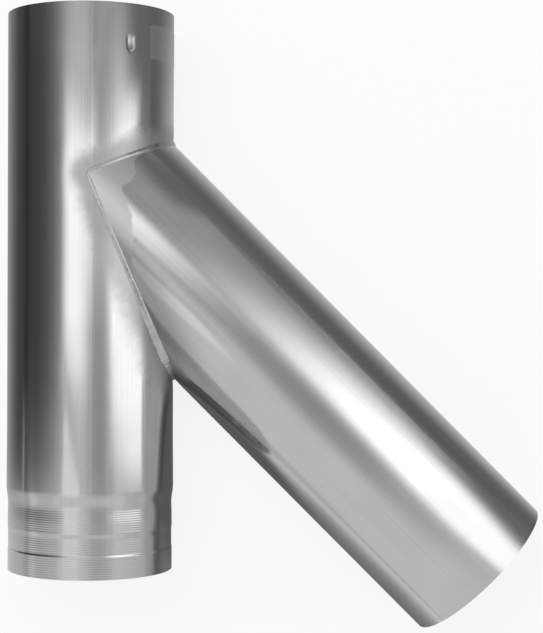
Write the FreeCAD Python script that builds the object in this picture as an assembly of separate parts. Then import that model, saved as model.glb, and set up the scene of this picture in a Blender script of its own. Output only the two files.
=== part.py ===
import FreeCAD, Part
import math
import os

from FreeCAD import Vector

# Flue branch fitting, lying on its side: a straight round flue pipe with a second
# pipe of the same bore let into its side at an angle and welded on.
# Millimetres. The main pipe runs along +Y from its spigot end at Y = 0 to its
# socket end. The branch leaves towards +X and back towards the spigot end.

# Sheet and bore
bore_radius = 75.0
wall = 0.6

# Lengths and layout of the two pipes
main_length = 504.0
junction_height = 356.0
branch_angle = 45.0
branch_length = 504.0

# Spigot: its end band is smaller than the socket's bore by a clearance, and the
# other bands are a small step in from the end band
spigot_clearance = 0.15
middle_band_step = 0.45
upper_band_step = 0.05
neck_step = 0.4
stop_bead_rise = 0.35

# Spigot: where each band ends, measured from the open end
end_band_top = 19.4
bevel_top = 21.4
middle_band_top = 35.5
upper_band_bottom = 40.5
upper_band_top = 47.0
neck_height = 61.0
stop_bead_crest = 76.0
stop_bead_top = 84.0

# Locking nub pressed into the socket end
nub_turn = 30.2
nub_top_depth = 26.0
nub_length = 16.5
nub_width = 9.2
nub_depth = 0.3

# Weld bead: half width and crown where the pipes run smoothly into each other,
# in the sharp crotch and in the wide one
apex_leg = 2.4
apex_crown = 0.35
crotch_leg = 5.0
crotch_crown = 0.5
shoulder_leg = 3.2
shoulder_crown = 0.45
bead_stations = 8

outer_radius = bore_radius + wall
spigot_radius = bore_radius - spigot_clearance
half_angle = math.radians(branch_angle / 2)
junction = Vector(0, junction_height, 0)
along_main = Vector(0, 1, 0)
along_branch = Vector(math.sin(2 * half_angle), -math.cos(2 * half_angle), 0)
to_crotch = Vector(math.sin(half_angle), -math.cos(half_angle), 0)
to_shoulder = Vector(math.cos(half_angle), math.sin(half_angle), 0)
reach = main_length + branch_length
overrun = 4 * wall


def straight(start, end):
    """One straight stretch of a half section, between (radius, height) points."""
    return Part.LineSegment(Vector(*start), Vector(*end)).toShape()


def rolled(start, end):
    """Smooth rolled step from start to end, parallel to the axis at both ends."""
    curve = Part.BSplineCurve()
    ends = {"InitialTangent": along_main, "FinalTangent": along_main}
    curve.interpolate(Points=[Vector(*start), Vector(*end)], **ends)
    return curve.toShape()


def main_section(inset):
    """Edges of the main pipe's half section, from the open spigot to the socket rim."""
    end_band = spigot_radius - inset
    middle_band = end_band - middle_band_step
    upper_band = end_band - upper_band_step
    neck = end_band - neck_step
    body = outer_radius - inset
    stop_bead = body + stop_bead_rise
    return [
        straight((end_band, 0), (end_band, end_band_top)),
        straight((end_band, end_band_top), (middle_band, bevel_top)),
        straight((middle_band, bevel_top), (middle_band, middle_band_top)),
        rolled((middle_band, middle_band_top), (upper_band, upper_band_bottom)),
        straight((upper_band, upper_band_bottom), (upper_band, upper_band_top)),
        rolled((upper_band, upper_band_top), (neck, neck_height)),
        rolled((neck, neck_height), (stop_bead, stop_bead_crest)),
        rolled((stop_bead, stop_bead_crest), (body, stop_bead_top)),
        straight((body, stop_bead_top), (body, main_length)),
    ]


def turned(edges, low, high):
    """Solid of revolution about the Y axis, closed by flat ends at two heights."""
    foot = edges[0].Vertexes[0].Point
    head = edges[-1].Vertexes[-1].Point
    closing = [
        straight((0, high), (0, low)),
        straight((0, low), (foot.x, low)),
        straight((head.x, high), (0, high)),
    ]
    if foot.y - low > 0:
        closing.append(straight((foot.x, low), (foot.x, foot.y)))
    if high - head.y > 0:
        closing.append(straight((head.x, head.y), (head.x, high)))
    wire = Part.Wire(Part.__sortEdges__(closing + edges))
    solid = Part.Face(wire).revolve(Vector(0, 0, 0), along_main, 360)
    solid.rotate(Vector(0, 0, 0), along_main, 180)
    return Part.Solid(solid) if solid.ShapeType != "Solid" else solid


def nub_pocket(margin):
    """Space over the nub's ramp, which sinks evenly towards a round lower end.

    The margin makes it larger all round, for the back of the pressed sheet.
    """
    half = nub_width / 2 + margin
    top = main_length - nub_top_depth
    low = top - nub_length
    centre = low + nub_width / 2
    outline = [
        straight((-half, centre), (-half, top)),
        straight((-half, top), (half, top)),
        straight((half, top), (half, centre)),
        Part.Arc(Vector(half, centre), Vector(0, centre - half), Vector(-half, centre)).toShape(),
    ]
    face = Part.Face(Part.Wire(outline))
    prism = face.extrude(Vector(0, 0, outer_radius + overrun))
    surface = outer_radius - margin
    slope = nub_depth / nub_length
    low_end = low - overrun
    side = [
        Vector(-2 * half, top, surface),
        Vector(-2 * half, low_end, surface - slope * (top - low_end)),
        Vector(-2 * half, low_end, outer_radius + 2 * overrun),
        Vector(-2 * half, top, outer_radius + 2 * overrun),
    ]
    wedge = Part.Face(Part.makePolygon(side + side[:1])).extrude(Vector(4 * half, 0, 0))
    pocket = prism.common(wedge)
    pocket.rotate(Vector(0, 0, 0), along_main, nub_turn)
    return pocket


def branch_side():
    """Quarter space between the two mitre planes, on the branch's side."""
    corners = [
        junction,
        junction + to_crotch * reach,
        junction + to_crotch * reach + to_shoulder * reach,
        junction + to_shoulder * reach,
        junction,
    ]
    face = Part.Face(Part.makePolygon([point - Vector(0, 0, reach) for point in corners]))
    return face.extrude(Vector(0, 0, 2 * reach))


def aimed_cylinder(radius, start, length):
    """Round bar along the branch's axis, from a distance past the junction."""
    return Part.makeCylinder(radius, length, junction + along_branch * start, along_branch)


def make_main_pipe():
    """Main pipe with its rolled spigot, pressed nub and mitred side opening."""
    skin = turned(main_section(0), 0, main_length).cut(nub_pocket(0))
    hollow = turned(main_section(wall), -overrun, main_length + overrun).cut(nub_pocket(wall))
    return skin.cut(hollow).cut(branch_side())


def make_branch_pipe():
    """Plain pipe, mitred on two planes where it meets the main pipe."""
    tube = aimed_cylinder(outer_radius, -overrun, branch_length + overrun)
    hollow = aimed_cylinder(bore_radius, -2 * overrun, branch_length + 3 * overrun)
    return tube.cut(hollow).common(branch_side())


def bead_run(direction, stretch, leg, crown):
    """Round weld run along one mitre, from the front apex to the back one.

    It follows half an ellipse. The leg and the crown grow from the apexes, where
    the pipes run smoothly into each other, to the middle, where they meet sharply.
    The back half mirrors the front one.
    """
    across = Vector(-direction.y, direction.x, 0)
    if across.dot(along_branch) > 0:
        across = -across
    rings = []
    for station in range(bead_stations + 1):
        turn = math.pi / 2 * station / bead_stations
        depth = math.sin(turn)
        point = junction + direction * (outer_radius * depth * stretch)
        point = point + Vector(0, 0, outer_radius * math.cos(turn))
        path = direction * (math.cos(turn) * stretch) - Vector(0, 0, math.sin(turn))
        normal = Vector(depth, 0, math.cos(turn))
        out = normal - across * normal.dot(across)
        out.normalize()
        half_notch = math.pi / 2 - math.asin(abs(normal.dot(across)))
        leg_here = apex_leg + (leg - apex_leg) * depth
        crown_here = apex_crown + (crown - apex_crown) * depth
        half_width = leg_here * math.sin(half_notch)
        radius = (half_width ** 2 + crown_here ** 2) / (2 * crown_here)
        lift = leg_here * math.cos(half_notch) + crown_here - radius
        ring = Part.Circle(point + out * lift, path, radius)
        ring.XAxis = -out
        rings.append(Part.Wire(ring.toShape()))
    front = Part.makeLoft(rings, True)
    back = front.mirror(Vector(0, 0, 0), Vector(0, 0, 1))
    return front.fuse(back)


def make_saddle_weld():
    """Weld bead round the whole joint, lying on both pipes."""
    sharp = bead_run(to_crotch, 1 / math.sin(half_angle), crotch_leg, crotch_crown)
    wide = bead_run(to_shoulder, 1 / math.cos(half_angle), shoulder_leg, shoulder_crown)
    weld = sharp.fuse(wide)
    apex_ball = (apex_leg ** 2 + apex_crown ** 2) / (2 * apex_crown)
    for side in (-1, 1):
        centre = junction + Vector(0, 0, side * (outer_radius + apex_crown - apex_ball))
        weld = weld.fuse(Part.makeSphere(apex_ball, centre))
    main_bar = Part.makeCylinder(outer_radius, main_length, Vector(0, 0, 0), along_main)
    branch_bar = aimed_cylinder(outer_radius, 0, branch_length)
    return weld.cut(main_bar).cut(branch_bar)


def save(name, shape):
    """Write one piece as a STEP file."""
    solids = shape.Solids
    piece = solids[0] if len(solids) == 1 else Part.Compound(solids)
    box = piece.optimalBoundingBox()
    print(name, "solids", len(solids), "valid", piece.isValid(), "volume", round(piece.Volume, 1))
    print("  x", round(box.XMin, 2), round(box.XMax, 2), "y", round(box.YMin, 2), round(box.YMax, 2),
          "z", round(box.ZMin, 2), round(box.ZMax, 2))
    piece.exportStep("parts/" + name + ".step")


os.makedirs("parts", exist_ok=True)
save("main_pipe", make_main_pipe())
save("branch_pipe", make_branch_pipe())
save("saddle_weld", make_saddle_weld())
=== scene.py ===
import math

import bmesh
import bpy
import numpy as np
from mathutils import Matrix, Vector


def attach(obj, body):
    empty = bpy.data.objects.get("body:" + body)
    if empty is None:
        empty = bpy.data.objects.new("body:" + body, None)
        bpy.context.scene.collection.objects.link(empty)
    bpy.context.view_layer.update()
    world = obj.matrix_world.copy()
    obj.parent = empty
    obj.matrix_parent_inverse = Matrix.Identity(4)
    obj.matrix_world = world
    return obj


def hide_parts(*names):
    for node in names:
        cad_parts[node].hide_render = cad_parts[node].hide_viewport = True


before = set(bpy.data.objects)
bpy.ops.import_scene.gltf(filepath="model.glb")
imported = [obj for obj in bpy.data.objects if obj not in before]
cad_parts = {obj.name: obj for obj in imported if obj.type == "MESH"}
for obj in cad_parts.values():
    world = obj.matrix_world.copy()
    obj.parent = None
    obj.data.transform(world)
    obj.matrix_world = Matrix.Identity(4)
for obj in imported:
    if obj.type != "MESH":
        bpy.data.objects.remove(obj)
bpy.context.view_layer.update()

print("frame loaded with", len(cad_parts), "solids")

# Lengths of the pieces are millimetres, as in the solids. The main pipe runs along +Y
# from its spigot end, and the branch leaves towards +X and -Y.
fitting = {
    "outerRadius": 75.6,
    "wall": 0.6,
    "crossing": 356.0,  # height at which the two axes meet
    "branchAngle": 45.0,
}
mm = 0.001  # a millimetre, in Blender's metres
samePlace = 2e-6  # metres
tinyEdge = 1e-6
outerRadius, crossing = fitting["outerRadius"], fitting["crossing"]
halfAngle = math.radians(fitting["branchAngle"] / 2)
slope = math.tan(halfAngle)  # of the joint's shoulder run; the crotch run's is one over it
crossingPoint = np.array([0.0, crossing, 0.0])
alongBranch = np.array([math.sin(2 * halfAngle), -math.cos(2 * halfAngle), 0.0])
acrossBranch = np.array([math.cos(2 * halfAngle), math.sin(2 * halfAngle), 0.0])
upwards = np.array([0.0, 0.0, 1.0])


def unit(vectors):
    # Each vector divided by its own length.
    return vectors / np.linalg.norm(vectors, axis=-1, keepdims=True)


def onMainPipe(turn, along, radius):
    # Round the Y axis: out by the radius at the turn from +Z towards +X, up by the height.
    turn, along, radius = np.broadcast_arrays(turn, along, radius)
    return np.stack([radius * np.sin(turn), along, radius * np.cos(turn)], axis=-1)


def onBranch(turn, along, radius):
    # The same round the branch's axis, which starts at the crossing.
    turn, along, radius = np.broadcast_arrays(turn, along, radius)
    sideways = (radius * np.sin(turn))[..., None] * acrossBranch
    upright = (radius * np.cos(turn))[..., None] * upwards
    return crossingPoint + along[..., None] * alongBranch + sideways + upright


def easedSteps(height, stations):
    # Cubic ease between neighbouring stations, level at every station.
    heights, radii = np.array(stations, dtype=float).T
    k = np.clip(np.searchsorted(heights, height, side="right") - 1, 0, len(heights) - 2)
    t = np.clip((height - heights[k]) / (heights[k + 1] - heights[k]), 0, 1)
    return radii[k] + (radii[k + 1] - radii[k]) * t * t * (3 - 2 * t)


def smoothRise(value, low, high):
    # 0 below the low end, 1 above the high end, eased between.
    t = np.clip((value - low) / (high - low), 0, 1)
    return t * t * (3 - 2 * t)


def gridQuads(rows, cols, first=0, wrapCols=False, wrapRows=False, inwards=False):
    # Four corners for each cell of a grid of points that is numbered row by row.
    i = np.arange(rows if wrapRows else rows - 1)[:, None]
    j = np.arange(cols if wrapCols else cols - 1)[None, :]
    nextRow, nextCol = (i + 1) % rows, (j + 1) % cols
    corners = [i * cols + j, i * cols + nextCol, nextRow * cols + nextCol, nextRow * cols + j]
    quads = np.stack(corners, axis=-1).reshape(-1, 4) + first
    return quads[:, ::-1] if inwards else quads


def ribbonQuads(oneSide, otherSide):
    # Quads between two rows of point numbers of the same length.
    return np.stack([oneSide[:-1], oneSide[1:], otherSide[1:], otherSide[:-1]], axis=-1)


def readNumbers(items, name):
    numbers = np.empty(len(items), dtype=np.int32)
    items.foreach_get(name, numbers)
    return numbers


def readVectors(items, name):
    # A vector of every item, such as a vertex's place or a face's normal.
    vectors = np.empty(3 * len(items), dtype=np.float32)
    items.foreach_get(name, vectors)
    return vectors.reshape(-1, 3)


def addObject(name, data):
    thing = bpy.data.objects.new(name, data)
    bpy.context.scene.collection.objects.link(thing)
    return thing


def buildPiece(name, grids, quads, slotName, replaced=None, creaseAngle=35.0):
    # Grids of points in millimetres, numbered on from one to the next, and arrays of
    # quads become one closed mesh at the origin. Its vertices' places come back too.
    points = np.concatenate([grid.reshape(-1, 3) for grid in grids])
    quads = np.concatenate(quads)
    mesh = bpy.data.meshes.new(name)
    mesh.vertices.add(len(points))
    mesh.vertices.foreach_set("co", (points * mm).astype(np.float32).ravel())
    mesh.loops.add(4 * len(quads))
    mesh.loops.foreach_set("vertex_index", quads.astype(np.int32).ravel())
    mesh.polygons.add(len(quads))
    mesh.polygons.foreach_set("loop_start", np.arange(0, 4 * len(quads), 4, dtype=np.int32))
    mesh.update(calc_edges=True)
    work = bmesh.new()
    work.from_mesh(mesh)
    bmesh.ops.remove_doubles(work, verts=work.verts, dist=samePlace)
    bmesh.ops.dissolve_degenerate(work, edges=work.edges, dist=tinyEdge)
    openEdges = sum(1 for edge in work.edges if len(edge.link_faces) != 2)
    work.to_mesh(mesh)
    work.free()
    mesh.polygons.foreach_set("use_smooth", np.ones(len(mesh.polygons), dtype=bool))
    mesh.set_sharp_from_angle(angle=math.radians(creaseAngle))
    piece = addObject(name, mesh)
    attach(piece, "root")
    if replaced:
        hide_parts(replaced)
    triangles = sum(len(p.vertices) - 2 for p in mesh.polygons)
    print(name, "has", triangles, "triangles and", openEdges, "open edges")
    return piece, readVectors(mesh.vertices, "co") / mm


def addAttribute(piece, name, values):
    attribute = piece.data.attributes.new(name, "FLOAT", "POINT")
    attribute.data.foreach_set("value", values.astype(np.float32))


def addRolledMap(piece, turns, heights):
    # UV in metres: arc length round the pipe, and height along it. A face that
    # crosses the back line takes its far corners one whole turn on.
    mesh = piece.data
    corners = readNumbers(mesh.loops, "vertex_index")
    starts = readNumbers(mesh.polygons, "loop_start")
    totals = readNumbers(mesh.polygons, "loop_total")
    turn = turns[corners]
    highest = np.repeat(np.maximum.reduceat(turn, starts), totals)
    turn = np.where(highest - turn > math.pi, turn + 2 * math.pi, turn)
    layer = mesh.uv_layers.new(name="rolled")
    flat = np.stack([turn * outerRadius, heights[corners]], axis=-1) * mm
    layer.data.foreach_set("uv", flat.astype(np.float32).ravel())


# Camera: looks down on the fitting, which lies on its side
cameraPlace = {
    "location": (82.4, 234.4, 1453.7),
    "right": (0.99967, 0.00336, 0.02535),
    "up": (-0.00328, 0.99999, -0.00319),
    "lens": 90.11,
    "sensor": 36.0,
    "shift": 0.08,  # the picture's frame sits to the right of the lens' axis
    "farEnd": 50.0,  # metres
}


def makeCamera():
    camera = addObject("camera", bpy.data.cameras.new("camera"))
    right = Vector(cameraPlace["right"]).normalized()
    up = Vector(cameraPlace["up"])
    backwards = right.cross(up).normalized()
    up = backwards.cross(right)
    turned = Matrix((right, up, backwards)).transposed().to_4x4()
    camera.matrix_world = Matrix.Translation(Vector(cameraPlace["location"]) * mm) @ turned
    camera.data.lens = cameraPlace["lens"]
    camera.data.sensor_width = cameraPlace["sensor"]
    camera.data.shift_x = cameraPlace["shift"]
    camera.data.clip_end = cameraPlace["farEnd"]
    bpy.context.scene.camera = camera


makeCamera()
print("camera placed")

# Weld path, needed first because the sheet is drawn in a little beside it
bead = {
    "apexLeg": 1.8,
    "crotchLeg": 7.5,
    "crotchNarrowing": 0.7,  # of the legs, at the very bottom of the crotch
    "narrowingFrom": 0.88,  # of the way out to the crotch
    "shoulderLeg": 3.2,
    "apexCrown": 0.38,
    "crotchCrown": 0.5,
    "shoulderCrown": 0.45,
    "cornerRound": 11.0,
    "spacing": 0.27,
    "ripplePitch": 1.5,
    "rippleHeight": 0.035,
    "crotchCalm": 0.6,  # of the ripples, in the crotch
    "rippleBow": 0.9,
    "rippleUneven": 0.25,
    "rippleDrift": 0.35,
    "edgeWander": 0.06,
    "branchWander": 0.4,  # of the wander on the main pipe's side
    "mainWaves": [3.1, 4.7, 9.0, 21.0],
    "branchWaves": [5.3, 13.0, 33.0],
    "unevenWaves": [6.1, 11.0, 27.0],
    "driftWaves": [7.7, 19.0, 41.0],
    "acrossPoints": 13,
    "toeSink": 0.03,
    "toeDepth": 0.25,
    "rootDepth": 0.4,
    "pullDepth": 0.3,
    "heatReach": 7.0,  # of the drawn sheet, away from the apexes
    "apexHeatReach": 18.0,
    "apexSpan": 55.0,
}
# How far from the joint the sheet is dulled, on each pipe, and where painted shade darkens the branch
# along the crotch run
weldHaze = {
    "mainApexReach": 21.0,
    "mainCrotchGrowth": 18.0,
    "mainShoulderGrowth": 4.0,
    "crotchDepth": 182.0,
    "shoulderRise": 30.0,
    "branchRunReach": 3.0,
    "branchApexGrowth": 22.0,
    "branchCrotchSpan": 82.0,
    "branchShoulderSpan": 40.0,
    "spanChange": (-10.0, 20.0),  # below the crossing
    # Painted shade on the branch beside the crotch run: its fade along the axis, and the turns where
    # it begins and ends
    "paintedShadeFade": (25.0, 100.0),
    "paintedShadeStart": (9.0, 21.0),  # degrees from the apex
    "paintedShadeEnd": (42.0, 58.0),
}


def weldPath(spacing, rounding):
    # Two half ellipses end to end. On each the point turns with the pipes from front
    # to back, and its height changes in proportion to how far out it is. A moving
    # average rounds the two corners.
    fineSteps = 4001
    turn = np.linspace(0, math.pi, fineSteps)
    out = outerRadius * np.sin(turn)
    depth = outerRadius * np.cos(turn)
    sharp = np.stack([out, crossing - out / slope, depth], axis=-1)
    wide = np.stack([out, crossing + out * slope, depth], axis=-1)[::-1]
    loop = np.concatenate([sharp[:-1], wide])
    length = np.concatenate([[0], np.cumsum(np.linalg.norm(np.diff(loop, axis=0), axis=1))])
    count = int(length[-1] / spacing)
    even = np.arange(count) * length[-1] / count
    path = np.stack([np.interp(even, length, loop[:, k]) for k in range(3)], axis=-1)
    reach = max(1, int(rounding / spacing))
    window = np.hanning(2 * reach + 3)[1:-1]
    window = window / window.sum()
    padded = np.concatenate([path[-reach:], path, path[:reach]])
    rounded = [np.convolve(padded[:, k], window, mode="valid") for k in range(3)]
    return np.stack(rounded, axis=-1), even


def jointDistance(points):
    # Straight distance to the nearest point of the joint, some thousands at a time.
    atOnce = 4000
    flat = points.reshape(-1, 3)
    nearest = np.empty(len(flat))
    for part in np.array_split(np.arange(len(flat)), max(1, len(flat) // atOnce)):
        gaps = flat[part][:, None, :] - sharpPath[None, ::2, :]
        nearest[part] = np.sqrt((gaps ** 2).sum(axis=-1).min(axis=-1))
    return nearest.reshape(points.shape[:-1])


def apexDistance(points):
    # Distance from the line through the two apexes.
    return np.hypot(points[..., 0], points[..., 1] - crossing)


def weldPull(points):
    # Bell curve of the distance to the joint. Its width shrinks from the two apexes
    # along the runs, again by a bell curve.
    spread = np.exp(-((apexDistance(points) / bead["apexSpan"]) ** 2))
    reach = bead["heatReach"] + (bead["apexHeatReach"] - bead["heatReach"]) * spread
    return np.exp(-((jointDistance(points) / reach) ** 2))


def mainHaze(points):
    # One at the joint, falling evenly to nothing at a reach that grows down the crotch
    # runs and a little up the shoulder runs.
    below = np.clip((crossing - points[:, 1]) / weldHaze["crotchDepth"], 0, 1)
    above = np.clip((points[:, 1] - crossing) / weldHaze["shoulderRise"], 0, 1)
    reach = weldHaze["mainApexReach"] + weldHaze["mainCrotchGrowth"] * below
    reach = reach + weldHaze["mainShoulderGrowth"] * above
    return np.clip(1 - jointDistance(points) / reach, -1, 1)


def branchHaze(points):
    # The same with a reach that drops a span away from the apexes, by a bell curve with
    # its power cubed. The span is longer on the crotch's side.
    low = smoothRise(crossing - points[:, 1], *weldHaze["spanChange"])
    wide, narrow = weldHaze["branchCrotchSpan"], weldHaze["branchShoulderSpan"]
    near = np.exp(-((apexDistance(points) / (narrow + (wide - narrow) * low)) ** 6))
    reach = weldHaze["branchRunReach"] + weldHaze["branchApexGrowth"] * near
    return np.clip(1 - jointDistance(points) / reach, -1, 1)


def branchPaintedShade(turns, heights):
    # Painted shade: the sheet is darker along the weld's crotch run, standing in for the main pipe's
    # dark reflection and the crotch's shade. How much so falls with the distance from the mitre along
    # the axis, and towards the apexes and the very crotch.
    aside = np.degrees(np.abs(turns))
    aside = np.where(turns < 0, np.minimum(aside, 180 - aside), 0)
    start = -outerRadius * np.sin(turns) / slope
    near = 1 - smoothRise(heights - start, *weldHaze["paintedShadeFade"])
    begun, ended = smoothRise(aside, *weldHaze["paintedShadeStart"]), smoothRise(aside, *weldHaze["paintedShadeEnd"])
    return near * begun * (1 - ended)


path, pathLength = weldPath(bead["spacing"], bead["cornerRound"])
sharpPath, _ = weldPath(1.0, 0.0)

# Main pipe: rolled spigot, mitred side opening, one pressed nub
mainPipe = {
    "length": 504.0,
    "stations": [
        (0.0, 74.85), (19.4, 74.85), (21.4, 74.4), (35.5, 74.4), (40.5, 74.8),
        (47.0, 74.8), (61.0, 74.45), (76.0, 75.95), (130.0, 75.6), (504.0, 75.6),
    ],
    "ribPitch": 2.0,
    "ribDepth": 0.065,
    "ribBands": [(1.0, 19.0), (22.0, 35.5), (41.0, 61.0)],
    "ribEase": 0.8,
    "columnStep": 2.0,
    "outerRows": (62, 18),  # of the body, below and above the branch
    "innerRows": (22, 8),
    "spigotRuns": [(0.0, 19.4, 0.5), (19.4, 21.5, 0.2), (21.6, 61.6, 0.5)],  # from, to, step
    "beadRows": (61.6, 84.0, 38),  # from, to, count
    "innerSpigotRows": [0, 7, 14, 19.4, 19.9, 20.4, 20.9, 21.4, 28, 35.5, 37, 38, 39, 40.5, 44, 47],
    "innerBeadRows": [(50.0, 61.0, 5), (62.5, 84.0, 15)],
    "socketRun": (462.2, 480.0, 0.55),
    "innerSocketRun": (462.0, 480.0, 1.2),
    "ringTop": 75.0,  # the spigot's duller rings end here
    "nubTurn": 30.2,
    "nubTop": 478.0,
    "nubLength": 16.5,
    "nubWidth": 9.2,
    "nubDepth": 1.2,
    "nubShoulder": 0.42,  # of its half width
    "nubSpread": 4.4,  # degrees to each side with close columns
    "nubStep": 0.4,
}


def nubSink(turn, along):
    # A ramp pressed inwards that deepens evenly from its top to its low end, where a
    # short round wall comes back up; across, it is flat with rounded shoulders.
    sideways = (turn - math.radians(mainPipe["nubTurn"])) * outerRadius
    half = mainPipe["nubWidth"] / 2
    down = mainPipe["nubTop"] - along
    lowCentre = mainPipe["nubLength"] - half
    below = np.maximum(0, down - lowCentre)
    fromAxis = np.sqrt(sideways ** 2 + below ** 2) / half
    shoulder = smoothRise(1 - fromAxis, 0.0, mainPipe["nubShoulder"])
    ramp = smoothRise(down, 0, lowCentre)
    return mainPipe["nubDepth"] * ramp * shoulder


def mainSkinRadius(turn, along):
    # Eased steps along the axis, less fine cosine ribs on the spigot's bands and the nub.
    turn, along = np.broadcast_arrays(turn, along)
    radius = easedSteps(along, mainPipe["stations"])
    ease = mainPipe["ribEase"]
    for low, high in mainPipe["ribBands"]:
        inBand = smoothRise(along, low, low + ease) * (1 - smoothRise(along, high - ease, high))
        wave = 0.5 - 0.5 * np.cos(2 * math.pi * (along - low) / mainPipe["ribPitch"])
        radius = radius - mainPipe["ribDepth"] * inBand * wave
    return radius - nubSink(turn, along)


def outerHeights():
    # Heights of the spigot's rows: close on the ribs, the crease and the beads.
    runs = [np.arange(*run) for run in mainPipe["spigotRuns"]]
    return np.concatenate([*runs, np.linspace(*mainPipe["beadRows"])])


def innerHeights():
    # The same stretch on the inside, with fewer rows.
    beads = [np.linspace(*rows) for rows in mainPipe["innerBeadRows"]]
    return np.concatenate([mainPipe["innerSpigotRows"], *beads])


def topHeights():
    # Rows of the socket end, outside and inside: close on the nub.
    end = mainPipe["length"]
    outer, inner = np.arange(*mainPipe["socketRun"]), np.arange(*mainPipe["innerSocketRun"])
    outer = np.concatenate([[456.0, 459.0, 461.0], outer, [481.0, 484.0, 490.0, 497.0, end]])
    return outer, np.concatenate([[456.0, 460.0], inner, [482.0, 490.0, end]])


def mainTurns():
    # Even columns all round, but closer ones over the nub.
    nubTurn, spread, step = mainPipe["nubTurn"], mainPipe["nubSpread"], mainPipe["nubStep"]
    plain = np.arange(-180.0, 180.0, mainPipe["columnStep"])
    plain = plain[np.abs(plain - nubTurn) > spread + step / 2]
    close = np.arange(nubTurn - spread, nubTurn + spread + step / 4, step)
    return np.radians(np.sort(np.concatenate([plain, close])))


def mainSheetPoints(turns, lowRows, bodyRows, neckRows, topRows, inset):
    # Two grids that meet at the crossing's height away from the branch, and end on
    # the two mitre planes beside it.
    out = np.maximum(0, (outerRadius - inset) * np.sin(turns))
    cutLow = crossing - out / slope
    cutHigh = crossing + out * slope
    share = np.linspace(0, 1, bodyRows + 1)[1:, None]
    fixedLow = np.repeat(lowRows[:, None], len(turns), axis=1)
    lower = np.concatenate([fixedLow, lowRows[-1] + (cutLow - lowRows[-1]) * share])
    share = np.linspace(0, 1, neckRows + 1)[:-1, None]
    fixedHigh = np.repeat(topRows[:, None], len(turns), axis=1)
    upper = np.concatenate([cutHigh + (topRows[0] - cutHigh) * share, fixedHigh])
    grids = []
    for heights in (lower, upper):
        radius = mainSkinRadius(turns, heights) - inset
        sunk = bead["pullDepth"] * weldPull(onMainPipe(turns, heights, radius))
        grids.append(onMainPipe(turns, heights, radius - sunk))
    return grids


def makeMainPipe():
    # A lower and an upper grid outside and inside, joined at the two open ends and round
    # the branch's opening, from the front line to the back one, which is column 0.
    turns = mainTurns()
    cols = len(turns)
    outerTop, innerTop = topHeights()
    grids = mainSheetPoints(turns, outerHeights(), *mainPipe["outerRows"], outerTop, 0.0)
    wall = fitting["wall"]
    grids += mainSheetPoints(turns, innerHeights(), *mainPipe["innerRows"], innerTop, wall)
    quads, firsts, total = [], [], 0
    for number, grid in enumerate(grids):
        rows = grid.shape[0]
        firsts.append((total, rows))
        quads.append(gridQuads(rows, cols, total, wrapCols=True, inwards=number > 1))
        total += rows * cols
    around = np.append(np.arange(cols), 0)
    opening = np.append(np.nonzero((turns > -1e-9) & (turns < math.pi))[0], 0)
    lowOuter, highOuter, lowInner, highInner = firsts

    def join(oneSide, otherSide, row, columns):
        rims = [first + (row % rows) * cols + columns for first, rows in (oneSide, otherSide)]
        quads.append(ribbonQuads(*rims))

    join(lowInner, lowOuter, 0, around)
    join(highOuter, highInner, -1, around)
    join(lowOuter, lowInner, -1, opening)
    join(highInner, highOuter, 0, opening)
    piece, places = buildPiece("main_pipe_sheet", grids, quads, "main_sheet", "main_pipe")
    addRolledMap(piece, np.arctan2(places[:, 0], places[:, 2]), places[:, 1])
    addAttribute(piece, "weldHaze", mainHaze(places))
    return piece


mainPiece = makeMainPipe()

# Branch pipe: plain, mitred on the same two planes
branchPipe = {
    "length": 504.0,
    "columnStep": 2.0,
    "outerRows": 150,
    "innerRows": 60,
    "rowSpread": 1.15,  # above 1, the rows lie closer at the mitre
}


def branchSheetPoints(turns, rows, inset):
    # Rows run from the mitre to the cut end. The mitre's height on the axis is the
    # sideways distance times one slope on the wide side and another on the sharp.
    radius = outerRadius - inset
    sideways = radius * np.sin(turns)
    start = np.where(sideways > 0, sideways * slope, -sideways / slope)
    share = (np.linspace(0, 1, rows) ** branchPipe["rowSpread"])[:, None]
    heights = start + (branchPipe["length"] - start) * share
    sunk = bead["pullDepth"] * weldPull(onBranch(turns, heights, radius))
    return onBranch(turns, heights, radius - sunk)


def makeBranchPipe():
    turns = np.radians(np.arange(-180.0, 180.0, branchPipe["columnStep"]))
    cols = len(turns)
    outer = branchSheetPoints(turns, branchPipe["outerRows"], 0.0)
    inner = branchSheetPoints(turns, branchPipe["innerRows"], fitting["wall"])
    first = outer.shape[0] * cols
    around = np.append(np.arange(cols), 0)
    outerEnd, innerEnd = first - cols + around, first + (inner.shape[0] - 1) * cols + around
    quads = [
        gridQuads(outer.shape[0], cols, 0, wrapCols=True, inwards=True),
        gridQuads(inner.shape[0], cols, first, wrapCols=True),
        ribbonQuads(around, first + around),
        ribbonQuads(innerEnd, outerEnd),
    ]
    grids = [outer, inner]
    piece, places = buildPiece("branch_pipe_sheet", grids, quads, "branch_sheet", "branch_pipe")
    fromCrossing = places - crossingPoint
    sideways = fromCrossing @ acrossBranch
    turns, heights = np.arctan2(sideways, places[:, 2]), fromCrossing @ alongBranch
    addRolledMap(piece, turns, heights)
    addAttribute(piece, "weldHaze", branchHaze(places))
    # Painted shade along the weld's crotch run
    addAttribute(piece, "paintedCrotchShade", branchPaintedShade(turns, heights))
    return piece


branchPiece = makeBranchPipe()


# Weld bead: one closed section carried round the whole joint
def wander(length, seed, waves):
    # Sum of a few sines that close on the path, between about -1 and 1.
    dice = np.random.default_rng(seed)
    whole = length[-1] + length[1]
    total = np.zeros(len(length))
    for wave in waves:
        total = total + np.sin(2 * math.pi * (round(whole / wave) * length / whole + dice.random()))
    return total / math.sqrt(len(waves))


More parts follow.
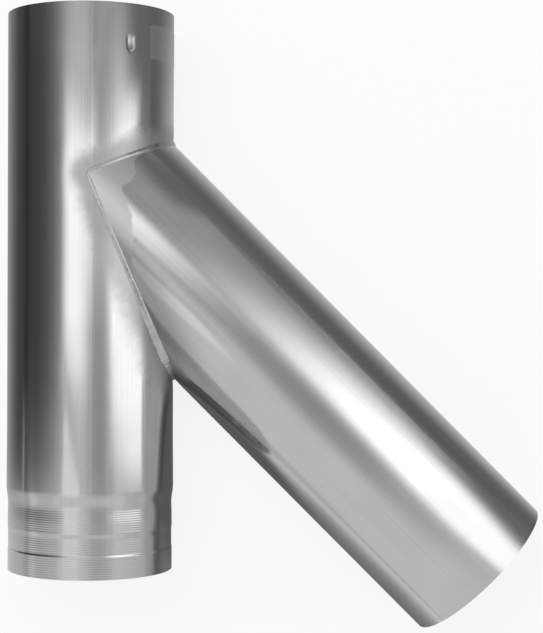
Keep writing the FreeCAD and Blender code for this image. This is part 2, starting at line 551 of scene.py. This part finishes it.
def beadSizes(out, sharpSide):
    # The leg and the crown grow from the apexes outwards, the leg with the cube of the
    # way. At the very bottom of the crotch the leg narrows again.
    farLeg = np.where(sharpSide, bead["crotchLeg"], bead["shoulderLeg"])
    farCrown = np.where(sharpSide, bead["crotchCrown"], bead["shoulderCrown"])
    leg = bead["apexLeg"] + (farLeg - bead["apexLeg"]) * out ** 3
    bottom = sharpSide * smoothRise(out, bead["narrowingFrom"], 1.0)
    crown = bead["apexCrown"] + (farCrown - bead["apexCrown"]) * out
    return leg * (1 - bead["crotchNarrowing"] * bottom), crown


def makeWeld():
    # Across the bead a chord joins its two toes, bulged by a parabola, with ripples
    # whose fronts bow back towards the toes. Underneath, the section closes in the sheet.
    heading = unit(np.roll(path, -1, axis=0) - np.roll(path, 1, axis=0))
    mainNormal = unit(path * [1, 0, 1])
    sideways = ((path - crossingPoint) @ acrossBranch)[:, None]
    branchNormal = unit(sideways * acrossBranch + path[:, 2:3] * upwards)
    outward = unit(mainNormal + branchNormal)
    out = np.clip(path[:, 0] / outerRadius, 0, 1)
    sharpSide = path[:, 1] < crossing
    leg, crown = beadSizes(out, sharpSide)
    edge = bead["edgeWander"]
    mainLeg = leg * (1 + edge * wander(pathLength, 3, bead["mainWaves"]))
    edge = bead["branchWander"] * edge
    branchLeg = leg * (1 + edge * wander(pathLength, 4, bead["branchWaves"]))
    sink = outerRadius - bead["pullDepth"] - bead["toeSink"]
    mainToe = path + mainLeg[:, None] * np.cross(heading, mainNormal)
    mainToe = onMainPipe(np.arctan2(mainToe[:, 0], mainToe[:, 2]), mainToe[:, 1], sink)
    branchToe = path - branchLeg[:, None] * np.cross(heading, branchNormal)
    offset = branchToe - crossingPoint
    turn, along = np.arctan2(offset @ acrossBranch, branchToe[:, 2]), offset @ alongBranch
    branchToe = onBranch(turn, along, sink)
    v = np.linspace(-1, 1, bead["acrossPoints"])
    share = ((v + 1) / 2)[:, None]
    chord = branchToe[:, None, :] + share * (mainToe - branchToe)[:, None, :]
    uneven = 1 + bead["rippleUneven"] * wander(pathLength, 5, bead["unevenWaves"])
    uneven = uneven * (1 - bead["crotchCalm"] * sharpSide * out ** 2)
    drift = bead["rippleDrift"] * wander(pathLength, 6, bead["driftWaves"])
    phase = pathLength / bead["ripplePitch"] + drift
    bowed = phase[:, None] + bead["rippleBow"] * v ** 2
    ripple = bead["rippleHeight"] * uneven[:, None] * (np.abs(np.sin(math.pi * bowed)) - 0.5)
    parabola = 1 - v ** 2
    bulge = crown[:, None] * parabola + ripple * np.sqrt(parabola)
    top = chord + bulge[..., None] * outward[:, None, :]
    toeDepth, rootDepth = bead["toeDepth"], bead["rootDepth"]
    under = [
        mainToe - toeDepth * mainNormal,
        path - rootDepth * outward,
        branchToe - toeDepth * branchNormal,
    ]
    section = np.concatenate([top, np.stack(under, axis=1)], axis=1)
    quads = [gridQuads(len(path), section.shape[1], wrapCols=True, wrapRows=True)]
    names = ("weld_metal", "saddle_weld")
    return buildPiece("saddle_weld_bead", [section], quads, *names, creaseAngle=60.0)[0]


weldPiece = makeWeld()

# Blank label: clear-coated film stuck on near the socket end
blankLabel = {
    "turnStart": 46.5,
    "width": 80.0,
    "low": 457.5,
    "high": 488.0,
    "corner": 3.0,
    "thickness": 0.14,
    "lift": 0.02,  # off the sheet
    "rows": 26,
    "cols": 60,
}


def makeLabel():
    # A rounded rectangle: each row is narrowed near the low and high edges by a
    # quarter circle, then wrapped round the pipe.
    rows, cols, corner = blankLabel["rows"], blankLabel["cols"], blankLabel["corner"]
    share = 0.5 - 0.5 * np.cos(np.linspace(0, math.pi, rows))
    low, high = blankLabel["low"], blankLabel["high"]
    height = low + (high - low) * share
    fromEdge = np.minimum(height - low, high - height)
    toCorner = np.clip(corner - fromEdge, 0, corner)
    inset = corner - np.sqrt(np.clip(corner ** 2 - toCorner ** 2, 0, None))
    half = blankLabel["width"] / 2 - inset
    arc = blankLabel["width"] / 2 + half[:, None] * np.linspace(-1, 1, cols)
    turn = math.radians(blankLabel["turnStart"]) + arc / outerRadius
    height = np.broadcast_to(height[:, None], turn.shape)
    skin = mainSkinRadius(turn, height)
    outer = onMainPipe(turn, height, skin + blankLabel["thickness"])
    inner = onMainPipe(turn, height, skin + blankLabel["lift"])
    number = np.arange(rows * cols).reshape(rows, cols)
    edge = np.concatenate([number[0, :], number[1:, -1], number[-1, -2::-1], number[-2::-1, 0]])
    quads = [
        gridQuads(rows, cols),
        gridQuads(rows, cols, rows * cols, inwards=True),
        ribbonQuads(edge + rows * cols, edge),
    ]
    piece, places = buildPiece("blank_label", [outer, inner], quads, "main_sheet")
    addRolledMap(piece, np.arctan2(places[:, 0], places[:, 2]), places[:, 1])
    return piece


labelPiece = makeLabel()


# Materials, with lengths in metres
noiseSpan = (0.2, 0.8)  # where most of a noise's values lie


def feed(tree, sockets, inputs):
    # Each named socket is linked from another socket, or set to a value.
    for key, value in inputs.items():
        if isinstance(value, bpy.types.NodeSocket):
            tree.links.new(value, sockets[key])
        else:
            sockets[key].default_value = value


def addNode(tree, kind, inputs=None, **settings):
    # One node, by its type's name after the word ShaderNode. Its outputs come back.
    node = tree.nodes.new("ShaderNode" + kind)
    for key, value in settings.items():
        setattr(node, key, value)
    feed(tree, node.inputs, inputs or {})
    return node.outputs


def calculate(tree, operation, first, second=None):
    inputs = {0: first} if second is None else {0: first, 1: second}
    return addNode(tree, "Math", inputs, operation=operation)[0]


def multiply(tree, first, second):
    return calculate(tree, "MULTIPLY", first, second)


def combine(tree, operation, inputs, output=0):
    return addNode(tree, "VectorMath", inputs, operation=operation)[output]


def easedRange(tree, value, low, high, toLow=0.0, toHigh=1.0):
    inputs = {"Value": value, "From Min": low, "From Max": high, "To Min": toLow, "To Max": toHigh}
    return addNode(tree, "MapRange", inputs, interpolation_type="SMOOTHSTEP")["Result"]


def addNoise(tree, vector, scale, detail, roughness=0.5):
    inputs = {"Vector": vector, "Scale": scale, "Detail": detail, "Roughness": roughness}
    return addNode(tree, "TexNoise", inputs)


def addBump(tree, height, strength, distance):
    inputs = {"Strength": strength, "Distance": distance, "Height": height}
    return addNode(tree, "Bump", inputs)[0]


def newGroup(name, inputs, outputs):
    # An empty shader group and its two ends. An input without a value is a vector, and
    # every other socket is a number.
    group = bpy.data.node_groups.new(name, "ShaderNodeTree")
    for label, value in inputs.items():
        kind = "NodeSocketVector" if value is None else "NodeSocketFloat"
        socket = group.interface.new_socket(label, in_out="INPUT", socket_type=kind)
        if value is not None:
            socket.default_value = value
    for label in outputs:
        group.interface.new_socket(label, in_out="OUTPUT", socket_type="NodeSocketFloat")
    given, result = group.nodes.new("NodeGroupInput"), group.nodes.new("NodeGroupOutput")
    return group, given.outputs, result.inputs


def useGroup(tree, group, inputs):
    return addNode(tree, "Group", inputs, node_tree=group)


def makeRolledGrain():
    # Long faint rolling streaks and wide cloudy patches.
    inputs = {"Vector": None, "Streak Width": 0.001, "Streak Length": 0.2, "Cloud Size": 0.05}
    group, given, result = newGroup("rolled grain", inputs, ["Streaks", "Clouds"])
    parts = addNode(group, "SeparateXYZ", {0: given["Vector"]})
    across = calculate(group, "DIVIDE", parts[0], given["Streak Width"])
    along = calculate(group, "DIVIDE", parts[1], given["Streak Length"])
    flat = addNode(group, "CombineXYZ", {0: across, 1: along})[0]
    streaks = addNoise(group, flat, scale=1.0, detail=3.0, roughness=0.6)[0]
    size = calculate(group, "DIVIDE", 1.0, given["Cloud Size"])
    clouds = addNoise(group, given["Vector"], size, detail=2.0)[0]
    feed(group, result, {"Streaks": streaks, "Clouds": clouds})
    return group


def makeWeldDulling():
    # Where the sheet is dulled beside the weld: whole at the bead, with a ragged edge.
    inputs = {"Vector": None, "Haze": 0.0, "Ragged": 0.5, "Softness": 0.14}
    group, given, result = newGroup("weld dulling", inputs, ["Mask"])
    noise = addNoise(group, given["Vector"], scale=70.0, detail=3.0)[0]
    shift = multiply(group, calculate(group, "SUBTRACT", noise, 0.5), given["Ragged"])
    moved = calculate(group, "ADD", given["Haze"], shift)
    feed(group, result, {"Mask": easedRange(group, moved, 0.0, given["Softness"])})
    return group


handling = {
    "warpScale": 9.0,
    "warp": 0.02,
    "scratchWidth": (0.004, 0.012),
    "patchScale": 31.0,
    "patchSpan": (0.6, 0.68),
    "smudgeScale": 17.0,
    "smudgeSpan": (0.5, 0.75),
}


def makeHandlingMarks():
    # Short thin scratches that lie every way, in patches, and a few smudges.
    inputs = {"Vector": None, "Scale": 60.0}
    group, given, result = newGroup("handling marks", inputs, ["Scratches", "Smudges"])
    vector, warp = given["Vector"], handling["warp"]
    push = addNoise(group, vector, handling["warpScale"], detail=1.0)["Color"]
    push = combine(group, "MULTIPLY", {0: push, 1: (warp, warp, warp)})
    bent = combine(group, "ADD", {0: vector, 1: push})
    inputs = {"Vector": bent, "Scale": given["Scale"]}
    cells = addNode(group, "TexVoronoi", inputs, feature="DISTANCE_TO_EDGE")[0]
    thin = easedRange(group, cells, *handling["scratchWidth"], 1.0, 0.0)
    patches = addNoise(group, vector, handling["patchScale"], detail=2.0)[0]
    rare = easedRange(group, patches, *handling["patchSpan"])
    scratches = multiply(group, thin, rare)
    smudge = addNoise(group, vector, handling["smudgeScale"], detail=4.0, roughness=0.62)[0]
    smudges = easedRange(group, smudge, *handling["smudgeSpan"])
    feed(group, result, {"Scratches": scratches, "Smudges": smudges})
    return group


rolledGrain = makeRolledGrain()
weldDulling = makeWeldDulling()
handlingMarks = makeHandlingMarks()


def metalMaterial(name, metallic=1.0):
    material = bpy.data.materials.new(name)
    material.use_nodes = True
    tree = material.node_tree
    shader = tree.nodes["Principled BSDF"]
    shader.inputs["Metallic"].default_value = metallic
    return material, tree, shader.inputs


def placesOf(tree, uvMap="rolled"):
    return addNode(tree, "UVMap", uv_map=uvMap)[0]


def attributeValue(tree, name):
    return addNode(tree, "Attribute", attribute_name=name)["Fac"]


stainlessSheet = {
    "colour": (0.60, 0.60, 0.60, 1.0),
    "dullColour": (0.49, 0.49, 0.49, 1.0),
    "roughness": 0.12,
    "dullRoughness": 0.42,
    "dullSoftness": 0.75,
    # How much the painted shade along the crotch run darkens the sheet: none here
    "paintedShadeDepth": 0.0,
    "seamTone": 0.12,
    "seam": 0.0048,  # place of the lengthwise seam, as an arc from the front line
    "seamWidth": (0.0003, 0.0008),
    "grain": {"Streak Width": 0.0011, "Streak Length": 0.25},
    "streakTone": (0.95, 1.05),
    "cloudTone": (0.97, 1.03),
    "streakRoughness": 0.04,
    "smudgeRoughness": 0.05,
    "streakHeight": 0.4,  # of a scratch's depth
    "bump": (0.25, 0.00002),  # strength, distance
}
branchSheet = dict(
    stainlessSheet,
    dullColour=(0.60, 0.60, 0.60, 1.0),
    dullRoughness=0.38,
    dullSoftness=0.16,
    # Painted shade along the weld's crotch run
    paintedShadeDepth=0.42,
    seamTone=0.0,
)
spigotSheet = dict(stainlessSheet, roughness=0.18, seamTone=0.0)


def sheetShade(tree, values, rolled, grain):
    # What the colour is multiplied by: streaks and clouds, the painted shade along the branch's
    # crotch run, and a paler line for the seam.
    tone = easedRange(tree, grain["Streaks"], *noiseSpan, *values["streakTone"])
    cloud = easedRange(tree, grain["Clouds"], *noiseSpan, *values["cloudTone"])
    shade = multiply(tree, tone, cloud)
    # Painted shade: darker along the branch's crotch run
    if values["paintedShadeDepth"]:
        darker = multiply(tree, attributeValue(tree, "paintedCrotchShade"), -values["paintedShadeDepth"])
        shade = multiply(tree, shade, calculate(tree, "ADD", darker, 1.0))
    if values["seamTone"]:
        around = addNode(tree, "SeparateXYZ", {0: rolled})[0]
        toSeam = calculate(tree, "ABSOLUTE", calculate(tree, "SUBTRACT", around, values["seam"]))
        line = easedRange(tree, toSeam, *values["seamWidth"], values["seamTone"], 0.0)
        shade = calculate(tree, "ADD", shade, line)
    return shade


def makeSheetMaterial(name, values):
    material, tree, into = metalMaterial(name)
    rolled = placesOf(tree)
    grain = useGroup(tree, rolledGrain, dict(values["grain"], Vector=rolled))
    marks = useGroup(tree, handlingMarks, {"Vector": rolled})
    haze = {"Haze": attributeValue(tree, "weldHaze"), "Softness": values["dullSoftness"]}
    dull = useGroup(tree, weldDulling, dict(haze, Vector=rolled))["Mask"]
    inputs = {"Factor": dull, "A": values["colour"], "B": values["dullColour"]}
    colour = addNode(tree, "Mix", inputs, data_type="RGBA")["Result"]
    tint = combine(tree, "SCALE", {0: colour, 3: sheetShade(tree, values, rolled, grain)})
    smudged = multiply(tree, marks["Smudges"], values["smudgeRoughness"])
    streaked = multiply(tree, grain["Streaks"], values["streakRoughness"])
    least = values["roughness"] - values["streakRoughness"] / 2
    rough = calculate(tree, "ADD", calculate(tree, "ADD", smudged, streaked), least)
    more = multiply(tree, dull, values["dullRoughness"] - values["roughness"])
    rough = calculate(tree, "ADD", rough, more)
    height = multiply(tree, grain["Streaks"], values["streakHeight"])
    height = calculate(tree, "SUBTRACT", height, marks["Scratches"])
    bump = addBump(tree, height, *values["bump"])
    feed(tree, into, {"Base Color": tint, "Roughness": rough, "Normal": bump})
    return material


sheetMaterial = makeSheetMaterial("stainless sheet", stainlessSheet)
branchMaterial = makeSheetMaterial("stainless sheet of the branch", branchSheet)
spigotMaterial = makeSheetMaterial("stainless sheet with rolled rings", spigotSheet)

innerSheet = {"colour": (0.56, 0.56, 0.56, 1.0), "metallic": 0.8, "roughness": (0.24, 0.32)}


def makeInnerMaterial():
    material, tree, into = metalMaterial("stainless sheet inside", innerSheet["metallic"])
    grain = useGroup(tree, rolledGrain, {"Vector": placesOf(tree)})
    rough = easedRange(tree, grain["Clouds"], *noiseSpan, *innerSheet["roughness"])
    feed(tree, into, {"Base Color": innerSheet["colour"], "Roughness": rough})
    return material


innerMaterial = makeInnerMaterial()

weldMetal = {
    "colour": (0.55, 0.55, 0.55),
    "toneSpan": (0.25, 0.75),
    "tone": (0.8, 1.1),
    "roughness": (0.24, 0.42),
    "fineScale": 900.0,
    "wideScale": 120.0,
    "bump": (0.5, 0.00005),
}


def makeWeldMaterial():
    # Wide patches vary tone and roughness, and a fine grain roughens the surface.
    material, tree, into = metalMaterial("weld metal")
    place = addNode(tree, "TexCoord")["Object"]
    fine = addNoise(tree, place, weldMetal["fineScale"], detail=3.0)[0]
    wide = addNoise(tree, place, weldMetal["wideScale"], detail=3.0)[0]
    tone = easedRange(tree, wide, *weldMetal["toneSpan"], *weldMetal["tone"])
    tint = combine(tree, "SCALE", {0: weldMetal["colour"], 3: tone})
    rough = easedRange(tree, wide, *noiseSpan, *weldMetal["roughness"])
    bump = addBump(tree, fine, *weldMetal["bump"])
    feed(tree, into, {"Base Color": tint, "Roughness": rough, "Normal": bump})
    return material


labelFilm = {
    "grain": {"Streak Width": 0.006, "Streak Length": 0.006, "Cloud Size": 0.03},
    "tone": (0.64, 0.70),
    "roughness": (0.30, 0.34),
    "bump": (0.1, 0.00003),
    "coat": 0.4,
    "coatRoughness": 0.12,
}


def makeLabelMaterial():
    material, tree, into = metalMaterial("blank silver film")
    grain = useGroup(tree, rolledGrain, dict(labelFilm["grain"], Vector=placesOf(tree)))
    tone = easedRange(tree, grain["Clouds"], *noiseSpan, *labelFilm["tone"])
    tint = addNode(tree, "CombineColor", {0: tone, 1: tone, 2: tone})[0]
    rough = easedRange(tree, grain["Streaks"], *noiseSpan, *labelFilm["roughness"])
    bump = addBump(tree, grain["Clouds"], *labelFilm["bump"])
    feed(tree, into, {"Base Color": tint, "Roughness": rough, "Normal": bump})
    feed(tree, into, {"Coat Weight": labelFilm["coat"], "Coat Roughness": labelFilm["coatRoughness"]})
    return material


def paint(piece, materials, numbers):
    # Hangs the materials on the piece, and gives every face its number among them.
    for material in materials:
        piece.data.materials.append(material)
    piece.data.polygons.foreach_set("material_index", numbers.astype(np.int32))


def dressPieces():
    # The first material is the outside, the next the inside, where the face looks
    # towards the pipe's axis, and the last the spigot's rings.
    faces = mainPiece.data.polygons
    centres, normals = readVectors(faces, "center"), readVectors(faces, "normal")
    inner = (centres * normals * [1, 0, 1]).sum(axis=1) < 0
    ringed = (centres[:, 1] < mainPipe["ringTop"] * mm) & ~inner
    paint(mainPiece, (sheetMaterial, innerMaterial, spigotMaterial), inner + 2 * ringed)
    faces = branchPiece.data.polygons
    fromCrossing = readVectors(faces, "center") - crossingPoint * mm
    fromAxis = fromCrossing - (fromCrossing @ alongBranch)[:, None] * alongBranch
    inner = (fromAxis * readVectors(faces, "normal")).sum(axis=1) < 0
    paint(branchPiece, (branchMaterial, innerMaterial), inner)
    weldPiece.data.materials.append(makeWeldMaterial())
    labelPiece.data.materials.append(makeLabelMaterial())


dressPieces()
print("materials made")

# Studio: floor, world, soft cards that only the metal sees, one soft lamp. Lengths are
# millimetres again, but the lamp's are metres.
studio = {
    "floorHeight": -76.0,
    "floorReach": 20000.0,
    "floorColour": (0.88, 0.88, 0.88, 1.0),
    "floorShare": 0.85,  # part of the floor's whiteness that takes no shadow
    "floorShareInMetal": 0.94,
    "floorLevel": 0.97,  # of the sheet with the flags
    "flagReach": 19000.0,
    "flagLift": 1.0,  # of that sheet, off the floor
    "axisSoftness": 1.0,
    "worldLevel": 0.64,
    "horizonLevel": 0.9,
    "horizonSpan": (0.05, 0.3),
    "cardCentre": (150.0, 230.0, 0.0),
    "cardMargin": 2.5,  # past a card's edge, in softnesses
}
softLamp = {"power": 25.0, "size": 1.6, "place": (-0.5, 0.9, 2.2), "aim": (0.15, 0.25, 0.0)}
white = (1.0, 1.0, 1.0, 1.0)
cornerSigns = [(-1, -1), (1, -1), (1, 1), (-1, 1)]
# Azimuth from +Z towards +X, elevation towards +Y, roll, distance, two half sizes, level
# and two softnesses
softCards = [
    ("front card", -19.1, 4.2, -5.0, 1491.0, 514.0, 222.0, 1.56, 76.0, 50.0),
    ("floor side card", -3.0, -51.8, -5.0, 1226.0, 1271.0, 1094.0, 0.77, 12.0, 41.0),
    ("right card", 32.4, 17.5, 33.0, 1040.0, 496.0, 371.0, 2.20, 400.0, 42.0),
    ("far right card", 50.2, -1.8, -5.0, 1019.0, 489.0, 183.0, 1.63, 8.0, 55.0),
    ("right flag", 103.3, -20.6, 38.0, 953.0, 288.0, 1500.0, 0.23, 318.0, 132.0),
    ("left flag", -85.0, 9.2, 5.0, 894.0, 759.0, 413.0, 0.04, 398.0, 90.0),
    ("upper right flag", 86.3, 32.9, 17.0, 802.0, 123.0, 426.0, 0.15, 119.0, 62.0),
    ("upper flag", 30.4, 36.9, -64.0, 753.0, 226.0, 526.0, 0.36, 153.0, 62.0),
    ("middle flag", 3.7, -10.0, 22.0, 734.0, 211.0, 235.0, 0.37, 103.0, 105.0),
]
# Cards that hang nearer: the point they face comes before the rest
nearCards = [
    ("upper right shade", (45.0, 503.0, 62.0), 72.0, 9.0, 0.0, 165.0, 82.0, 80.0, 0.18, 50.0, 18.0),
    ("horizon flag", (304.0, 52.0, 42.0), 90.0, 45.0, 0.0, 1600.0, 118.0, 560.0, 0.3, 30.0, 80.0),
    ("end shade", (427.8, 18.4, -55.3), 73.2, 29.3, -15.0, 600.0, 180.0, 119.0, 0.2, 115.0, 28.0),
    ("low left card", (-1.0, 72.0, 84.0), -25.0, -6.0, -9.0, 400.0, 91.0, 84.0, 1.0, 5.0, 12.0),
    ("low left shade", (12.5, 145.6, 105.8), -25.0, -6.0, -28.0, 392.0, 150.0, 24.0, 0.66, 20.0, 9.0),
]
# Flags on the floor: twice a direction, how far along it from the crossing the flag
# starts, and its softness, then the level and how far it goes past the branch's axis
floorFlags = [
    ((-1.0, 0.0), 80.0, 125.0, (0.0, -1.0), 296.0, 60.0, 0.62, 2500.0),  # low left
    ((-1.0, 0.0), 80.0, 125.0, (-0.107, 1.0), -292.0, 40.0, 0.07, 2500.0),  # left
    ((-1.0, 0.0), 660.0, 70.0, (0.0, -1.0), 255.0, 30.0, 0.55, 2500.0),  # far left
    ((0.994, -0.106), 514.0, 50.0, (0.0, 0.0), -1000.0, 100.0, 0.38, 2500.0),  # end
    ((0.707, 0.707), 128.0, 150.0, (0.0, 0.0), -1000.0, 100.0, 0.16, 2500.0),  # right
    ((0.707, 0.707), -320.0, 300.0, (1.0, 0.0), -20.0, 70.0, 0.02, 0.0),  # gap
    ((-0.383, 0.924), -392.0, 24.0, (1.0, 0.0), -20.0, 70.0, 0.13, 0.0),  # crotch
]


def emptyMaterial(name):
    # A material with nothing in it but its output.
    material = bpy.data.materials.new(name)
    material.use_nodes = True
    tree = material.node_tree
    tree.nodes.clear()
    return material, tree, tree.nodes.new("ShaderNodeOutputMaterial").inputs["Surface"]


def linkStage(name, points, material):
    mesh = bpy.data.meshes.new(name)
    mesh.from_pydata([tuple(p) for p in points], [], [(0, 1, 2, 3)])
    mesh.materials.append(material)
    thing = addObject(name, mesh)
    return thing


def onlyInMetal(thing, flatPlaces):
    # Hidden from the camera, from diffuse light and from shadows, with a map of its own.
    layer = thing.data.uv_layers.new(name="flat")
    layer.data.foreach_set("uv", np.array(flatPlaces, dtype=np.float32).ravel())
    thing.data.materials[0].cycles.emission_sampling = "NONE"
    thing.visible_camera = False
    thing.visible_diffuse = False
    thing.visible_shadow = False


def makeFloor():
    # Part of its white glows evenly for the camera and for the metal, and the rest
    # takes the fitting's shadow.
    material, tree, surface = emptyMaterial("pale floor")
    plain = addNode(tree, "BsdfDiffuse", {"Color": studio["floorColour"]})[0]
    glow = addNode(tree, "Emission", {"Color": white, "Strength": 1.0})[0]
    rays = addNode(tree, "LightPath")
    direct = multiply(tree, rays["Is Camera Ray"], studio["floorShare"])
    mirrored = calculate(tree, "MAXIMUM", rays["Is Glossy Ray"], rays["Is Transmission Ray"])
    mirrored = multiply(tree, mirrored, studio["floorShareInMetal"])
    share = calculate(tree, "MAXIMUM", direct, mirrored)
    tree.links.new(addNode(tree, "MixShader", {0: share, 1: plain, 2: glow})[0], surface)
    reach, height = studio["floorReach"] * mm, studio["floorHeight"] * mm
    linkStage("floor", [(reach * a, reach * b, height) for a, b in cornerSigns], material)


def softStep(tree, inside, soft):
    # Nothing well outside an edge, a half on it and one well inside it.
    bend = calculate(tree, "TANH", calculate(tree, "DIVIDE", inside, soft))
    return multiply(tree, calculate(tree, "ADD", bend, 1.0), 0.5)


edgeNames = ("Half Width", "Half Height", "Soft Width", "Soft Height")


def makeSoftEdge():
    # One inside a rectangle, falling softly to nothing across its edge.
    inputs = dict.fromkeys(edgeNames, 0.1)
    group, given, result = newGroup("soft edge", dict(inputs, Vector=None), ["Mask"])
    parts = addNode(group, "SeparateXYZ", {0: given["Vector"]})
    masks = []
    for part, side in zip(parts, ("Width", "Height")):
        away = calculate(group, "ABSOLUTE", part)
        inside = calculate(group, "SUBTRACT", given["Half " + side], away)
        masks.append(softStep(group, inside, given["Soft " + side]))
    feed(group, result, {"Mask": multiply(group, *masks)})
    return group


def makeSoftBorder():
    # One past a straight edge, falling softly to nothing across it.
    inputs = {"Vector": None, "Direction": None, "Edge": 0.0, "Soft": 0.1}
    group, given, result = newGroup("soft border", inputs, ["Mask"])
    inputs = {0: given["Vector"], 1: given["Direction"]}
    along = combine(group, "DOT_PRODUCT", inputs, "Value")
    inside = calculate(group, "SUBTRACT", along, given["Edge"])
    feed(group, result, {"Mask": softStep(group, inside, given["Soft"])})
    return group


softEdge = makeSoftEdge()
softBorder = makeSoftBorder()


def makeCard(name, aim, azimuth, elevation, roll, distance, *values):
    # A flat card square to the line from the point it faces. It glows inside its soft
    # edges and is clear outside them.
    halfWidth, halfHeight, level, softWidth, softHeight = values
    azimuth, elevation, roll = (math.radians(angle) for angle in (azimuth, elevation, roll))
    flatPart = math.cos(elevation)
    towards = Vector((math.sin(azimuth) * flatPart, math.sin(elevation), math.cos(azimuth) * flatPart))
    sideways = Vector((math.cos(azimuth), 0.0, -math.sin(azimuth)))
    rising = towards.cross(sideways)
    across = sideways * math.cos(roll) + rising * math.sin(roll)
    upright = rising * math.cos(roll) - sideways * math.sin(roll)
    centre = (Vector(aim) + towards * distance) * mm
    wide = (halfWidth + studio["cardMargin"] * softWidth) * mm
    high = (halfHeight + studio["cardMargin"] * softHeight) * mm
    points = [centre + across * (wide * a) + upright * (high * b) for a, b in cornerSigns]
    sizes = (halfWidth, halfHeight, softWidth, softHeight)
    inputs = {key: size * mm for key, size in zip(edgeNames, sizes)}
    material, tree, surface = emptyMaterial(name)
    mask = useGroup(tree, softEdge, dict(inputs, Vector=placesOf(tree, "flat")))["Mask"]
    clear = addNode(tree, "BsdfTransparent")[0]
    glow = addNode(tree, "Emission", {"Strength": level})[0]
    tree.links.new(addNode(tree, "MixShader", {0: mask, 1: clear, 2: glow})[0], surface)
    card = linkStage(name, points, material)
    onlyInMetal(card, [(wide * a, high * b) for a, b in cornerSigns])


def layFloorFlags():
    # One sheet just over the floor, for the metal alone. Every flag changes its level
    # inside its soft borders, the later ones over the earlier ones.
    material, tree, surface = emptyMaterial("floor flags")
    flat = placesOf(tree, "flat")

    def border(direction, edge, soft):
        inputs = {"Direction": (*direction, 0.0), "Edge": edge * mm, "Soft": soft * mm}
        return useGroup(tree, softBorder, dict(inputs, Vector=flat))["Mask"]

    level = studio["floorLevel"]
    for *borders, flagLevel, past in floorFlags:
        mask = multiply(tree, border(*borders[:3]), border(*borders[3:]))
        beside = border(-acrossBranch[:2], -past, studio["axisSoftness"])
        mask = multiply(tree, mask, beside)
        inputs = {"Factor": mask, "A": level, "B": flagLevel}
        level = addNode(tree, "Mix", inputs)["Result"]
    tree.links.new(addNode(tree, "Emission", {"Strength": level})[0], surface)
    height = studio["floorHeight"] + studio["flagLift"]
    corners = np.array(cornerSigns) * studio["flagReach"]
    places = (corners + crossingPoint[:2]) * mm
    sheet = linkStage("floor flags", [(*place, height * mm) for place in places], material)
    onlyInMetal(sheet, corners * mm)


def makeWorld():
    # Pale at the horizon, mid grey above it.
    world = bpy.data.worlds.new("studio world")
    bpy.context.scene.world = world
    world.use_nodes = True
    tree = world.node_tree
    into = tree.nodes["Background"].inputs
    way = addNode(tree, "TexCoord")["Generated"]
    climb = addNode(tree, "SeparateXYZ", {0: way})[2]
    levels = studio["horizonLevel"], studio["worldLevel"]
    level = easedRange(tree, climb, *studio["horizonSpan"], *levels)
    feed(tree, into, {"Color": white, "Strength": level})


def makeLamp():
    data = bpy.data.lights.new("soft lamp", "AREA")
    data.shape = "DISK"
    data.size = softLamp["size"]
    data.energy = softLamp["power"]
    lamp = addObject("soft lamp", data)
    lamp.location = softLamp["place"]
    aim = Vector(softLamp["aim"]) - lamp.location
    lamp.rotation_euler = aim.to_track_quat("-Z", "Y").to_euler()
    lamp.visible_glossy = False  # the metal sees the cards instead


makeFloor()
for cardName, *card in softCards:
    makeCard(cardName, studio["cardCentre"], *card)
for card in nearCards:
    makeCard(*card)
layFloorFlags()
makeWorld()
makeLamp()
bpy.context.scene.view_settings.view_transform = "Standard"
print("studio lit")
